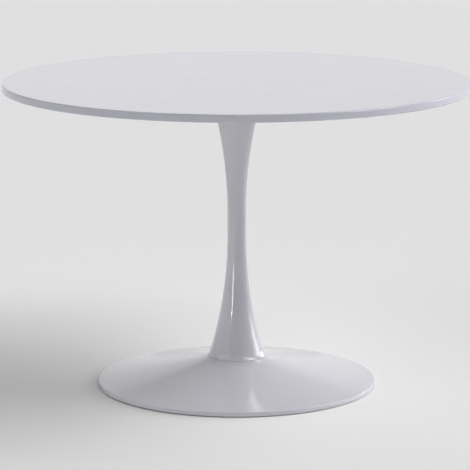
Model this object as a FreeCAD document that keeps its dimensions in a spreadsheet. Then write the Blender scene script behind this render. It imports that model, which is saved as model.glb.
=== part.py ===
import FreeCAD, Part
import math
import os
import Sketcher
from collections import namedtuple
from types import SimpleNamespace

# Round pedestal table. Millimetres, +Z up, origin on the floor under the middle of the column.
# All turned pieces share one meridian: head flare, waist, foot flare, neck round and dome.

SIZES = {
    # overall
    "table_height": 730.0,
    "top_radius": 550.0,
    "top_thickness": 18.0,
    "top_edge_round": 2.5,
    "base_radius": 330.0,
    # column, from its head under the mounting plate down to the seam
    "head_radius": 65.0,
    "waist_radius": 22.0,
    "waist_high": 413.0,
    "waist_low": 360.0,
    "column_wall": 2.0,
    # neck round, shared by the column's foot and the base shell
    "neck_round": 35.0,
    "neck_centre_radius": 96.0,
    "neck_centre_height": 92.0,
    "seam_drop": 24.0,
    "gasket_thickness": 0.6,
    "gasket_inset": 1.2,
    # base shell
    "dome_radius": 3000.0,
    "rim_height": 12.0,
    "rim_round": 2.0,
    "floor_gap": 2.0,
    "shell_wall": 2.0,
    "core_bore_radius": 20.0,
    # welded rings in the ends of the column
    "head_ring_thickness": 12.0,
    "foot_ring_thickness": 14.0,
    # mounting plate under the top
    "plate_radius": 170.0,
    "plate_thickness": 5.0,
    "plate_chamfer": 1.0,
    # M6 screws, washers and threaded inserts that hold the top
    "top_screw_count": 8,
    "top_screw_circle": 150.0,
    "top_screw_radius": 3.0,
    "top_screw_length": 16.0,
    "top_screw_head_radius": 5.25,
    "top_screw_flat_radius": 3.15,
    "top_screw_head_height": 3.3,
    "top_screw_socket": 4.0,
    "washer_radius": 6.0,
    "washer_thickness": 1.6,
    "insert_radius": 4.5,
    "insert_length": 13.0,
    # M8 countersunk bolts, mounting plate to head ring
    "head_bolt_count": 4,
    "head_bolt_circle": 42.0,
    "head_bolt_radius": 4.0,
    "head_bolt_head_radius": 8.0,
    "head_bolt_socket": 5.0,
    # M10 countersunk bolts, ballast plate to foot ring
    "base_bolt_count": 4,
    "base_bolt_circle": 42.0,
    "base_bolt_radius": 5.0,
    "base_bolt_head_radius": 10.0,
    "base_bolt_socket": 6.0,
    "bolt_tip_gap": 1.5,
    "hole_clearance": 0.5,
    "socket_depth": 2.4,
    # ballast plate, hub and pads under the shell
    "ballast_inset": 50.0,
    "ballast_thickness": 8.0,
    "hub_radius": 58.0,
    "pad_count": 6,
    "pad_angle": 5.0,
    "pad_length": 14.0,
    "pad_inset": 4.0,
    # levelling glides
    "glide_count": 6,
    "glide_inset": 40.0,
    "glide_travel": 8.0,
    "foot_radius": 16.0,
    "foot_thickness": 5.0,
    "foot_edge_round": 1.5,
    "stem_radius": 4.0,
    "stem_depth": 3.0,
    "collar_radius": 7.0,
    "collar_thickness": 1.0,
    "thread_clearance": 0.05,
    "thread_reserve": 1.0,
}


class Length:
    """A length's number, together with the expression that binds it to the sheet."""

    def __init__(self, value, text):
        self.value = value
        self.text = text

    def __add__(self, other):
        other = as_length(other)
        return Length(self.value + other.value, f"({self.text} + {other.text})")

    def __sub__(self, other):
        other = as_length(other)
        return Length(self.value - other.value, f"({self.text} - {other.text})")

    def __mul__(self, other):
        other = as_length(other)
        return Length(self.value * other.value, f"({self.text} * {other.text})")

    def __truediv__(self, other):
        other = as_length(other)
        return Length(self.value / other.value, f"({self.text} / {other.text})")

    def __radd__(self, other):
        return as_length(other) + self

    def __rsub__(self, other):
        return as_length(other) - self

    def __rmul__(self, other):
        return as_length(other) * self


def as_length(number):
    if isinstance(number, Length):
        return number
    return Length(number, repr(float(number)))


def root(square):
    return Length(math.sqrt(square.value), f"sqrt({square.text})")


doc = FreeCAD.newDocument("pedestal_table")
sheet = doc.addObject("Spreadsheet::Sheet", "Sizes")
for row, (alias, number) in enumerate(SIZES.items(), start=1):
    sheet.set(f"A{row}", alias)
    sheet.set(f"B{row}", str(number))
    sheet.setAlias(f"B{row}", alias)
doc.recompute()
s = SimpleNamespace(**{alias: Length(number, f"Sizes.{alias}") for alias, number in SIZES.items()})
axis = Length(0.0, "0.0")

# A path is a closed list of corners. The side that leaves a corner is straight, or an arc with its
# centre to the left or right of the way of travel.
Corner = namedtuple("Corner", "x z bend", defaults=[None])
Bend = namedtuple("Bend", "radius side")
LEFT, RIGHT = 1, -1


def left(radius):
    return Bend(radius, LEFT)


def right(radius):
    return Bend(radius, RIGHT)


# ---------------------------------------------------------------- heights, from the floor up
ballast_under = s.foot_thickness + s.collar_thickness
ballast_over = ballast_under + s.ballast_thickness
seam = s.neck_centre_height - s.seam_drop
flange_under = seam - s.shell_wall
column_foot = seam + s.gasket_thickness
foot_ring_over = column_foot + s.foot_ring_thickness
top_under = s.table_height - s.top_thickness
column_head = top_under - s.plate_thickness
head_ring_under = column_head - s.head_ring_thickness

# ---------------------------------------------------------------- the shared meridian
neck = Corner(s.neck_centre_radius, s.neck_centre_height)
neck_reach = neck.x - s.waist_radius
neck_fall = s.waist_low - neck.z
foot_flare_radius = (
    neck_reach * neck_reach + neck_fall * neck_fall - s.neck_round * s.neck_round
) / (2 * (neck_reach - s.neck_round))
foot_flare = Corner(s.waist_radius + foot_flare_radius, s.waist_low)

head_reach = s.head_radius - s.waist_radius
head_rise = column_head - s.waist_high
head_flare_radius = (head_reach * head_reach + head_rise * head_rise) / (2 * head_reach)
head_flare = Corner(s.waist_radius + head_flare_radius, s.waist_high)

rim = Corner(s.base_radius - s.rim_round, s.rim_height)
rim_to_neck = root((neck.x - rim.x) * (neck.x - rim.x) + (neck.z - rim.z) * (neck.z - rim.z))
toward_neck = Corner((neck.x - rim.x) / rim_to_neck, (neck.z - rim.z) / rim_to_neck)
dome_along = (
    2 * s.dome_radius * s.neck_round - s.neck_round * s.neck_round + rim_to_neck * rim_to_neck
) / (2 * rim_to_neck)
dome_up = root(s.dome_radius * s.dome_radius - dome_along * dome_along)
dome = Corner(
    rim.x + dome_along * toward_neck.x + dome_up * toward_neck.z,
    rim.z + dome_along * toward_neck.z - dome_up * toward_neck.x,
)


def inward_of(centre, radius, z):
    """Where a circle's axis side stands at height z."""
    return centre.x - root(radius * radius - (z - centre.z) * (z - centre.z))


def below(centre, radius, x):
    """Where a circle's underside lies at distance x from the axis."""
    return centre.z - root(radius * radius - (centre.x - x) * (centre.x - x))


def blend(big_centre, big_radius, offset, bend=None):
    """Where the neck round, offset to its far side, meets a larger arc that it is tangent to."""
    share = (s.neck_round + offset) / (big_radius - s.neck_round)
    return Corner(
        neck.x + (neck.x - big_centre.x) * share,
        neck.z + (neck.z - big_centre.z) * share,
        bend,
    )


# ---------------------------------------------------------------- sketches and features
def origin_part(body, role):
    return next(part for part in body.Origin.OriginFeatures if part.Role == role)


def new_body(name):
    body = doc.addObject("PartDesign::Body", name)
    body.Label = name
    return body


def new_sketch(body, role, name):
    sketch = body.newObject("Sketcher::SketchObject", f"{body.Name}_{name}")
    sketch.AttachmentSupport = [(origin_part(body, role), "")]
    sketch.MapMode = "FlatFace"
    return sketch


def bind(sketch, constraint, length):
    index = sketch.addConstraint(constraint)
    sketch.setExpression(f"Constraints[{index}]", length.text)


def draw_side(sketch, corner, following):
    """Draw the side between two corners; give its geometry number and the ends it is walked by."""
    start = FreeCAD.Vector(corner.x.value, corner.z.value, 0)
    end = FreeCAD.Vector(following.x.value, following.z.value, 0)
    if corner.bend is None:
        return sketch.addGeometry(Part.LineSegment(start, end)), 1, 2
    radius = corner.bend.radius.value
    half = (end - start) * 0.5
    reach = math.sqrt(radius**2 - half.Length**2)
    centre = start + half + FreeCAD.Vector(-half.y, half.x, 0).normalize() * reach * corner.bend.side
    circle = Part.Circle(centre, FreeCAD.Vector(0, 0, 1), radius)
    angles = [math.atan2(end_point.y - centre.y, end_point.x - centre.x) for end_point in (start, end)]
    if corner.bend.side == LEFT:
        return sketch.addGeometry(Part.ArcOfCircle(circle, *angles)), 1, 2
    return sketch.addGeometry(Part.ArcOfCircle(circle, *reversed(angles))), 2, 1


def draw_path(sketch, path):
    """Draw a closed path, with every corner and radius bound to the sheet."""
    sides = [draw_side(sketch, path[i], path[(i + 1) % len(path)]) for i in range(len(path))]
    for i, (side, first, last) in enumerate(sides):
        next_side, next_first, _ = sides[(i + 1) % len(sides)]
        sketch.addConstraint(Sketcher.Constraint("Coincident", side, last, next_side, next_first))
    for corner, (side, first, _) in zip(path, sides):
        bind(sketch, Sketcher.Constraint("DistanceX", -1, 1, side, first, corner.x.value), corner.x)
        bind(sketch, Sketcher.Constraint("DistanceY", -1, 1, side, first, corner.z.value), corner.z)
        if corner.bend is not None:
            radius = corner.bend.radius
            bind(sketch, Sketcher.Constraint("Radius", side, radius.value), radius)


def turn(body, path, name="turning", kind="PartDesign::Revolution", angle=None):
    """Turn a path about the column's axis, or about the line that stands at its first corner."""
    sketch = new_sketch(body, "XZ_Plane", f"{name}_sketch")
    draw_path(sketch, path)
    feature = body.newObject(kind, f"{body.Name}_{name}")
    feature.Profile = sketch
    feature.ReferenceAxis = (sketch, ["V_Axis"])
    feature.Angle = 360.0
    if angle is not None:
        feature.Midplane = True
        feature.setExpression("Angle", angle.text)
    return feature


def spin(body, circle, path, name="spinning", kind="PartDesign::Revolution"):
    """Turn a path about an upright line at distance circle; the path's x counts from that line."""
    placed = [Corner(circle + corner.x, corner.z, corner.bend) for corner in path]
    feature = turn(body, placed, name, kind)
    sketch = feature.Profile[0]
    low = FreeCAD.Vector(circle.value, path[0].z.value, 0)
    high = FreeCAD.Vector(circle.value, path[-1].z.value, 0)
    line = sketch.addGeometry(Part.LineSegment(low, high), True)
    bind(sketch, Sketcher.Constraint("DistanceX", -1, 1, line, 1, circle.value), circle)
    sketch.addConstraint(Sketcher.Constraint("Vertical", line))
    feature.ReferenceAxis = (sketch, ["Axis0"])
    return feature


def cut_hole(body, circle, path, name):
    return spin(body, circle, path, name, "PartDesign::Groove")


def straight_hole(body, circle, radius, low, high, name):
    return cut_hole(body, circle, cylinder_path(radius, low, high), name)


def cut_socket(body, circle, face, across, upward):
    """Cut a hexagon socket into a screw's head from its face."""
    sketch = new_sketch(body, "XY_Plane", "socket_sketch")
    sketch.setExpression("AttachmentOffset.Base.z", face.text)
    corner_radius = across / math.sqrt(3)
    turns = [math.radians(60 * step) for step in range(6)]
    corners = [Corner(circle + corner_radius * math.cos(a), corner_radius * math.sin(a)) for a in turns]
    draw_path(sketch, corners)
    socket = body.newObject("PartDesign::Pocket", f"{body.Name}_socket")
    socket.Profile = sketch
    socket.Reversed = upward
    socket.setExpression("Length", s.socket_depth.text)
    return socket


def repeat(body, features, count, name="ring"):
    """Repeat features evenly about the column's axis."""
    pattern = body.newObject("PartDesign::PolarPattern", f"{body.Name}_{name}")
    pattern.Originals = features
    pattern.Axis = (origin_part(body, "Z_Axis"), [""])
    pattern.Angle = 360.0
    pattern.setExpression("Occurrences", count.text)
    body.Tip = pattern


def cylinder_path(radius, low, high):
    return [Corner(axis, low), Corner(radius, low), Corner(radius, high), Corner(axis, high)]


def ring_path(inner, outer, low, high):
    return [Corner(inner, low), Corner(outer, low), Corner(outer, high), Corner(inner, high)]


def countersink_path(head, shank, face, tip):
    """A countersunk shape, from its face at the head to the tip, on a 90 degree cone."""
    cone = head - shank
    neck_z = face + cone if tip.value > face.value else face - cone
    return [
        Corner(axis, face),
        Corner(head, face),
        Corner(shank, neck_z),
        Corner(shank, tip),
        Corner(axis, tip),
    ]


# ---------------------------------------------------------------- table top and what holds it
def table_top():
    body = new_body("table_top")
    r, z, e = s.top_radius, s.table_height, s.top_edge_round
    turn(body, [
        Corner(axis, top_under),
        Corner(r - e, top_under, left(e)),
        Corner(r, top_under + e),
        Corner(r, z - e, left(e)),
        Corner(r - e, z),
        Corner(axis, z),
    ])
    hole = straight_hole(
        body, s.top_screw_circle, s.insert_radius, top_under, top_under + s.insert_length, "insert_hole"
    )
    repeat(body, [hole], s.top_screw_count)


def insert_nuts():
    body = new_body("insert_nuts")
    path = ring_path(s.top_screw_radius, s.insert_radius, top_under, top_under + s.insert_length)
    repeat(body, [spin(body, s.top_screw_circle, path)], s.top_screw_count)


def top_washers():
    body = new_body("top_washers")
    hole = s.top_screw_radius + s.hole_clearance
    path = ring_path(hole, s.washer_radius, column_head - s.washer_thickness, column_head)
    repeat(body, [spin(body, s.top_screw_circle, path)], s.top_screw_count)


def top_screws():
    body = new_body("top_screws")
    seat = column_head - s.washer_thickness
    face = seat - s.top_screw_head_height
    screw = spin(body, s.top_screw_circle, [
        Corner(axis, face),
        Corner(s.top_screw_flat_radius, face, left(s.top_screw_head_radius)),
        Corner(s.top_screw_head_radius, seat),
        Corner(s.top_screw_radius, seat),
        Corner(s.top_screw_radius, seat + s.top_screw_length),
        Corner(axis, seat + s.top_screw_length),
    ])
    socket = cut_socket(body, s.top_screw_circle, face, s.top_screw_socket, True)
    repeat(body, [screw, socket], s.top_screw_count)


def mounting_plate():
    body = new_body("mounting_plate")
    r, c = s.plate_radius, s.plate_chamfer
    turn(body, [
        Corner(axis, column_head),
        Corner(r - c, column_head),
        Corner(r, column_head + c),
        Corner(r, top_under),
        Corner(axis, top_under),
    ])
    hole = s.top_screw_radius + s.hole_clearance
    outer = straight_hole(body, s.top_screw_circle, hole, column_head, top_under, "screw_hole")
    repeat(body, [outer], s.top_screw_count, "screw_ring")
    inner = cut_hole(body, s.head_bolt_circle, countersink_path(
        s.head_bolt_head_radius, s.head_bolt_radius + s.hole_clearance, top_under, column_head
    ), "bolt_hole")
    repeat(body, [inner], s.head_bolt_count, "bolt_ring")


def head_bolts():
    body = new_body("head_bolts")
    path = countersink_path(
        s.head_bolt_head_radius, s.head_bolt_radius, top_under, head_ring_under + s.bolt_tip_gap
    )
    bolt = spin(body, s.head_bolt_circle, path)
    socket = cut_socket(body, s.head_bolt_circle, top_under, s.head_bolt_socket, False)
    repeat(body, [bolt, socket], s.head_bolt_count)


# ---------------------------------------------------------------- column
def column():
    body = new_body("column")
    w = s.column_wall
    inner_foot = foot_flare_radius + w
    inner_head = head_flare_radius + w
    turn(body, [
        Corner(inward_of(neck, s.neck_round, column_foot), column_foot, right(s.neck_round)),
        blend(foot_flare, foot_flare_radius, 0, right(foot_flare_radius)),
        Corner(s.waist_radius, s.waist_low),
        Corner(s.waist_radius, s.waist_high, right(head_flare_radius)),
        Corner(s.head_radius, column_head),
        Corner(inward_of(head_flare, inner_head, column_head), column_head, left(inner_head)),
        Corner(s.waist_radius - w, s.waist_high),
        Corner(s.waist_radius - w, s.waist_low, left(inner_foot)),
        blend(foot_flare, foot_flare_radius, w, left(s.neck_round + w)),
        Corner(inward_of(neck, s.neck_round + w, column_foot), column_foot),
    ])


def column_head_ring():
    body = new_body("column_head_ring")
    inner_head = head_flare_radius + s.column_wall
    turn(body, [
        Corner(s.core_bore_radius, head_ring_under),
        Corner(inward_of(head_flare, inner_head, head_ring_under), head_ring_under, right(inner_head)),
        Corner(inward_of(head_flare, inner_head, column_head), column_head),
        Corner(s.core_bore_radius, column_head),
    ])
    hole = straight_hole(
        body, s.head_bolt_circle, s.head_bolt_radius, head_ring_under, column_head, "bolt_hole"
    )
    repeat(body, [hole], s.head_bolt_count)


def column_foot_ring():
    body = new_body("column_foot_ring")
    inner_neck = s.neck_round + s.column_wall
    inner_foot = foot_flare_radius + s.column_wall
    turn(body, [
        Corner(s.core_bore_radius, column_foot),
        Corner(inward_of(neck, inner_neck, column_foot), column_foot, right(inner_neck)),
        blend(foot_flare, foot_flare_radius, s.column_wall, right(inner_foot)),
        Corner(inward_of(foot_flare, inner_foot, foot_ring_over), foot_ring_over),
        Corner(s.core_bore_radius, foot_ring_over),
    ])
    hole = straight_hole(
        body, s.base_bolt_circle, s.base_bolt_radius, column_foot, foot_ring_over, "bolt_hole"
    )
    repeat(body, [hole], s.base_bolt_count)


# ---------------------------------------------------------------- base
def clearance_holes(body, low, high):
    radius = s.base_bolt_radius + s.hole_clearance
    hole = straight_hole(body, s.base_bolt_circle, radius, low, high, "bolt_hole")
    repeat(body, [hole], s.base_bolt_count)


def seam_gasket():
    body = new_body("seam_gasket")
    outer = inward_of(neck, s.neck_round, column_foot) - s.gasket_inset
    turn(body, ring_path(s.core_bore_radius, outer, seam, column_foot))
    clearance_holes(body, seam, column_foot)


def base_shell():
    body = new_body("base_shell")
    w = s.shell_wall
    skirt = s.base_radius - w
    inner_neck = s.neck_round + w
    turn(body, [
        Corner(s.core_bore_radius, seam),
        Corner(s.core_bore_radius, flange_under),
        Corner(inward_of(neck, inner_neck, flange_under), flange_under, left(inner_neck)),
        blend(dome, s.dome_radius, w, left(s.dome_radius + w)),
        Corner(skirt, below(dome, s.dome_radius + w, skirt)),
        Corner(skirt, s.floor_gap),
        Corner(s.base_radius, s.floor_gap),
        Corner(s.base_radius, s.rim_height - s.rim_round, left(s.rim_round)),
        Corner(rim.x, rim.z, right(s.dome_radius)),
        blend(dome, s.dome_radius, 0, right(s.neck_round)),
        Corner(inward_of(neck, s.neck_round, seam), seam),
    ])
    clearance_holes(body, flange_under, seam)


def hub():
    body = new_body("hub")
    turn(body, ring_path(s.core_bore_radius, s.hub_radius, ballast_over, flange_under))
    clearance_holes(body, ballast_over, flange_under)


def glide_circle():
    return s.base_radius - s.ballast_inset - s.glide_inset


def ballast_plate():
    body = new_body("ballast_plate")
    outer = s.base_radius - s.ballast_inset
    turn(body, cylinder_path(outer, ballast_under, ballast_over))
    bolt_hole = cut_hole(body, s.base_bolt_circle, countersink_path(
        s.base_bolt_head_radius, s.base_bolt_radius + s.hole_clearance, ballast_under, ballast_over
    ), "bolt_hole")
    repeat(body, [bolt_hole], s.base_bolt_count, "bolt_ring")
    thread = straight_hole(
        body, glide_circle(), s.stem_radius + s.thread_clearance, ballast_under, ballast_over, "glide_hole"
    )
    repeat(body, [thread], s.glide_count, "glide_ring")


def base_bolts():
    body = new_body("base_bolts")
    path = countersink_path(
        s.base_bolt_head_radius, s.base_bolt_radius, ballast_under, foot_ring_over - s.bolt_tip_gap
    )
    bolt = spin(body, s.base_bolt_circle, path)
    socket = cut_socket(body, s.base_bolt_circle, ballast_under, s.base_bolt_socket, True)
    repeat(body, [bolt, socket], s.base_bolt_count)


def shell_pads():
    body = new_body("shell_pads")
    outer = s.base_radius - s.ballast_inset - s.pad_inset
    inner = outer - s.pad_length
    under_shell = s.dome_radius + s.shell_wall
    pad = turn(body, [
        Corner(inner, ballast_over),
        Corner(outer, ballast_over),
        Corner(outer, below(dome, under_shell, outer), right(under_shell)),
        Corner(inner, below(dome, under_shell, inner)),
    ], angle=s.pad_angle)
    repeat(body, [pad], s.pad_count)
    body.Placement = turned_by(180.0 / SIZES["pad_count"])


# ---------------------------------------------------------------- levelling glides
def turned_by(degrees):
    return FreeCAD.Placement(FreeCAD.Vector(0, 0, 0), FreeCAD.Rotation(FreeCAD.Vector(0, 0, 1), degrees))


def glide_stem(number, placement):
    body = new_body(f"glide_{number}_stem")
    stem_foot = s.foot_thickness - s.stem_depth
    stem_tip = ballast_over + s.glide_travel - s.thread_reserve
    spin(body, glide_circle(), [
        Corner(axis, stem_foot),
        Corner(s.stem_radius, stem_foot),
        Corner(s.stem_radius, s.foot_thickness),
        Corner(s.collar_radius, s.foot_thickness),
        Corner(s.collar_radius, ballast_under),
        Corner(s.stem_radius, ballast_under),
        Corner(s.stem_radius, stem_tip),
        Corner(axis, stem_tip),
    ])
    body.Placement = placement


def glide_foot(number, placement):
    body = new_body(f"glide_{number}_foot")
    stem_foot = s.foot_thickness - s.stem_depth
    spin(body, glide_circle(), [
        Corner(axis, axis),
        Corner(s.foot_radius - s.foot_edge_round, axis, left(s.foot_edge_round)),
        Corner(s.foot_radius, s.foot_edge_round),
        Corner(s.foot_radius, s.foot_thickness),
        Corner(s.stem_radius, s.foot_thickness),
        Corner(s.stem_radius, stem_foot),
        Corner(axis, stem_foot),
    ])
    body.Placement = placement


# ---------------------------------------------------------------- build, check and write
def check(objects):
    """Stop at any object that failed, and at any cut that removed nothing."""
    for obj in objects:
        if "Invalid" in obj.State or "Error" in obj.State:
            raise SystemExit(f"{obj.Label} did not compute: {obj.State}")
        if obj.TypeId in ("PartDesign::Groove", "PartDesign::Pocket"):
            if obj.Shape.Volume >= obj.BaseFeature.Shape.Volume:
                raise SystemExit(f"{obj.Label} cuts nothing")
        if obj.TypeId == "PartDesign::Body":
            if obj.Shape.isNull() or not obj.Shape.isValid():
                raise SystemExit(f"{obj.Label} has no valid shape")


pieces = (
    table_top, insert_nuts, top_washers, top_screws, mounting_plate, head_bolts,
    column, column_head_ring, column_foot_ring, seam_gasket,
    base_shell, hub, ballast_plate, base_bolts, shell_pads,
)
for piece in pieces:
    piece()
for number in range(1, SIZES["glide_count"] + 1):
    placement = turned_by(360.0 / SIZES["glide_count"] * (number - 1))
    glide_stem(number, placement)
    glide_foot(number, placement)
doc.recompute()
check(doc.Objects)

os.makedirs("parts", exist_ok=True)
for body in doc.Objects:
    if body.TypeId == "PartDesign::Body":
        body.Shape.exportStep(f"parts/{body.Label}.step")
        print(body.Label, len(body.Shape.Solids), round(body.Shape.Volume / 1000, 2), "cm3")
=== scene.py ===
import math

import bmesh
import bpy
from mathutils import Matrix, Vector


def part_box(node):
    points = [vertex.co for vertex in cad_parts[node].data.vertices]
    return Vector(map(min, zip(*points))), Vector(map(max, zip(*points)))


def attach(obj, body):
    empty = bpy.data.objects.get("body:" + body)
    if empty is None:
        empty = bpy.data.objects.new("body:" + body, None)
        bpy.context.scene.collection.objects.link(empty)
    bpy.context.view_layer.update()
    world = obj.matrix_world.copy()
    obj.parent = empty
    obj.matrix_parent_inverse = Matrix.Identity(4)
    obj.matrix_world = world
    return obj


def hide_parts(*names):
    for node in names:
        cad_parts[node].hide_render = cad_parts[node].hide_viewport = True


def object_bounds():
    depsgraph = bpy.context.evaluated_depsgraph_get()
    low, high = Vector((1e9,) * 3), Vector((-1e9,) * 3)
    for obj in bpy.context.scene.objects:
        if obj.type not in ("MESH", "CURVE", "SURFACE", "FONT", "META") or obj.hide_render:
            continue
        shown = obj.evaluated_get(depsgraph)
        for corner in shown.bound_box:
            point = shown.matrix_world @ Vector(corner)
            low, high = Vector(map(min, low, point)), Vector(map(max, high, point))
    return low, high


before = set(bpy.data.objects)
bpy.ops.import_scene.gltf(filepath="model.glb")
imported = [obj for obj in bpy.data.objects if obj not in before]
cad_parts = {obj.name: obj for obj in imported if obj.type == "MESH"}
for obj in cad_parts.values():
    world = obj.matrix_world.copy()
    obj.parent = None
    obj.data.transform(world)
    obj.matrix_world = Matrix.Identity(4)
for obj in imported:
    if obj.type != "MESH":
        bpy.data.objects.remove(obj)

cad_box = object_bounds()


# ------------------------------------------------------------------ ballast plate
# A flame-cut disc of 8 mm steel that carries the table's weight low down, close to the floor.
# Black polyester powder coat keeps the rust off: a fine even grain with a soft satin shine.
POWDER_BLACK = "#1a1b1d"
POWDER_BLACK_THIN = "#292a2d"
POWDER_GRAIN_MM = 0.9
POWDER_GRAIN_DEPTH_MM = 0.03
POWDER_CLOUD_MM = 70.0
NOISE_SPAN = {"From_Min": 0.3, "From_Max": 0.7}  # nearly all of a noise texture's values


def linear(hex_colour):
    """An sRGB hex colour as linear red, green, blue and alpha."""
    channels = [int(hex_colour[i : i + 2], 16) / 255 for i in (1, 3, 5)]
    return [c / 12.92 if c <= 0.04045 else ((c + 0.055) / 1.055) ** 2.4 for c in channels] + [1.0]


def per_metre(size_mm):
    """How many times a pattern of this size repeats in a metre."""
    return 1000.0 / size_mm


def add(tree, kind, settings=None, links=None, **values):
    """Add a node: its own settings, the sockets that feed its inputs, and its inputs' values.

    Inputs are named, or numbered where names repeat. The outputs come back by name.
    """
    node = tree.nodes.new(kind)
    for name, value in (settings or {}).items():
        setattr(node, name, value)
    for name, value in values.items():
        node.inputs[name.replace("_", " ")].default_value = value
    for name, value in (links or {}).items():
        if isinstance(value, bpy.types.NodeSocket):
            tree.links.new(value, node.inputs[name])
        else:
            node.inputs[name].default_value = value
    return node.outputs


def new_material(name):
    """An empty material's tree, and the object's own coordinates in metres."""
    material = bpy.data.materials.new(name)
    material.use_nodes = True
    material.node_tree.nodes.clear()
    return material, material.node_tree, add(material.node_tree, "ShaderNodeTexCoord")["Object"]


def coat(material, *nodes):
    """Give CAD nodes a finish."""
    for node in nodes:
        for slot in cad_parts[node].material_slots:
            slot.material = material


powder_coat, tree, place = new_material("black_powder_coat")
grain = add(
    tree, "ShaderNodeTexNoise", None, {"Vector": place}, Scale=per_metre(POWDER_GRAIN_MM), Detail=1.0
)
cloud = add(
    tree, "ShaderNodeTexNoise", None, {"Vector": place}, Scale=per_metre(POWDER_CLOUD_MM), Detail=3.0
)
share = add(tree, "ShaderNodeMapRange", None, {"Value": cloud["Fac"]}, **NOISE_SPAN)
tone = add(tree, "ShaderNodeMix", {"data_type": "RGBA"}, {
    "Factor": share["Result"], 6: linear(POWDER_BLACK), 7: linear(POWDER_BLACK_THIN),
})
rough = add(tree, "ShaderNodeMapRange", None, {"Value": cloud["Fac"]}, To_Min=0.36, To_Max=0.58)
relief = add(
    tree, "ShaderNodeBump", None, {"Height": grain["Fac"]}, Distance=POWDER_GRAIN_DEPTH_MM / 1000
)
shader = add(tree, "ShaderNodeBsdfPrincipled", None, {
    "Base Color": tone[2],
    "Roughness": rough["Result"],
    "Normal": relief["Normal"],
}, IOR=1.5)
add(tree, "ShaderNodeOutputMaterial", None, {"Surface": shader["BSDF"]})
coat(powder_coat, "ballast_plate")


# ------------------------------------------------------------------ hub
# A grey iron casting between the ballast plate and the shell's neck, bored for the four bolts.
# Sand casting leaves it dark, matt and pebbled like coarse paper.
CAST_IRON = "#3f3e3c"
CAST_IRON_BRIGHT = "#5b5954"
SAND_GRAIN_MM = 1.1
SAND_DEPTH_MM = 0.12
CASTING_CLOUD_MM = 12.0

cast_iron, tree, place = new_material("sand_cast_iron")
sand = add(tree, "ShaderNodeTexVoronoi", None, {"Vector": place}, Scale=per_metre(SAND_GRAIN_MM))
cloud = add(
    tree, "ShaderNodeTexNoise", None, {"Vector": place}, Scale=per_metre(CASTING_CLOUD_MM), Detail=4.0
)
share = add(tree, "ShaderNodeMapRange", None, {"Value": cloud["Fac"]}, **NOISE_SPAN)
tone = add(tree, "ShaderNodeMix", {"data_type": "RGBA"}, {
    "Factor": share["Result"], 6: linear(CAST_IRON), 7: linear(CAST_IRON_BRIGHT),
})
rough = add(tree, "ShaderNodeMapRange", None, {"Value": cloud["Fac"]}, To_Min=0.55, To_Max=0.8)
relief = add(tree, "ShaderNodeBump", None, {"Height": sand["Distance"]}, Distance=SAND_DEPTH_MM / 1000)
shader = add(tree, "ShaderNodeBsdfPrincipled", None, {
    "Base Color": tone[2],
    "Roughness": rough["Result"],
    "Normal": relief["Normal"],
}, Metallic=1.0)
add(tree, "ShaderNodeOutputMaterial", None, {"Surface": shader["BSDF"]})
coat(cast_iron, "hub")


# ------------------------------------------------------------------ shell pads
# Six blocks of black rubber that keep the pressed shell from drumming on the ballast plate.
# Moulded natural rubber: nearly black, matt, with a dusty bloom.
RUBBER = "#1c1b1b"
RUBBER_BLOOM = "#353331"
BLOOM_MM = 5.0
PORE_MM = 0.6
PORE_DEPTH_MM = 0.04

rubber, tree, place = new_material("moulded_rubber")
bloom = add(tree, "ShaderNodeTexNoise", None, {"Vector": place}, Scale=per_metre(BLOOM_MM), Detail=5.0)
pores = add(tree, "ShaderNodeTexNoise", None, {"Vector": place}, Scale=per_metre(PORE_MM), Detail=1.0)
share = add(tree, "ShaderNodeMapRange", None, {"Value": bloom["Fac"]}, From_Min=0.4, From_Max=0.8)
tone = add(tree, "ShaderNodeMix", {"data_type": "RGBA"}, {
    "Factor": share["Result"], 6: linear(RUBBER), 7: linear(RUBBER_BLOOM),
})
rough = add(tree, "ShaderNodeMapRange", None, {"Value": bloom["Fac"]}, To_Min=0.7, To_Max=0.95)
relief = add(tree, "ShaderNodeBump", None, {"Height": pores["Fac"]}, Distance=PORE_DEPTH_MM / 1000)
shader = add(tree, "ShaderNodeBsdfPrincipled", None, {
    "Base Color": tone[2],
    "Roughness": rough["Result"],
    "Normal": relief["Normal"],
}, IOR=1.52)
add(tree, "ShaderNodeOutputMaterial", None, {"Surface": shader["BSDF"]})
coat(rubber, "shell_pads")


# ------------------------------------------------------------------ base shell
# One disc of 2 mm steel, spun to a low dome with a short rim and a swept-up neck, then polished
# out and sprayed with gloss white enamel. The gloss shows the room as in a mirror, but orange peel
# blurs it and what the spinning left in the metal makes it waver. Its underside gets thin overspray.
ENAMEL_WHITE = "#ceced7"
ENAMEL_WHITE_THICK = "#d2d2db"
OVERSPRAY = "#b9b9bd"
OVERSPRAY_THIN = "#a3a3a6"
OVERSPRAY_SPECK_MM = 1.4
ENAMEL_PEEL_MM = 3.2
ENAMEL_PEEL_DEPTH_MM = 0.004
SPUN_WAVE_MM = 42.0
SPUN_WAVE_DEPTH_MM = 0.05
FILM_CLOUD_MM = 160.0

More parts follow.
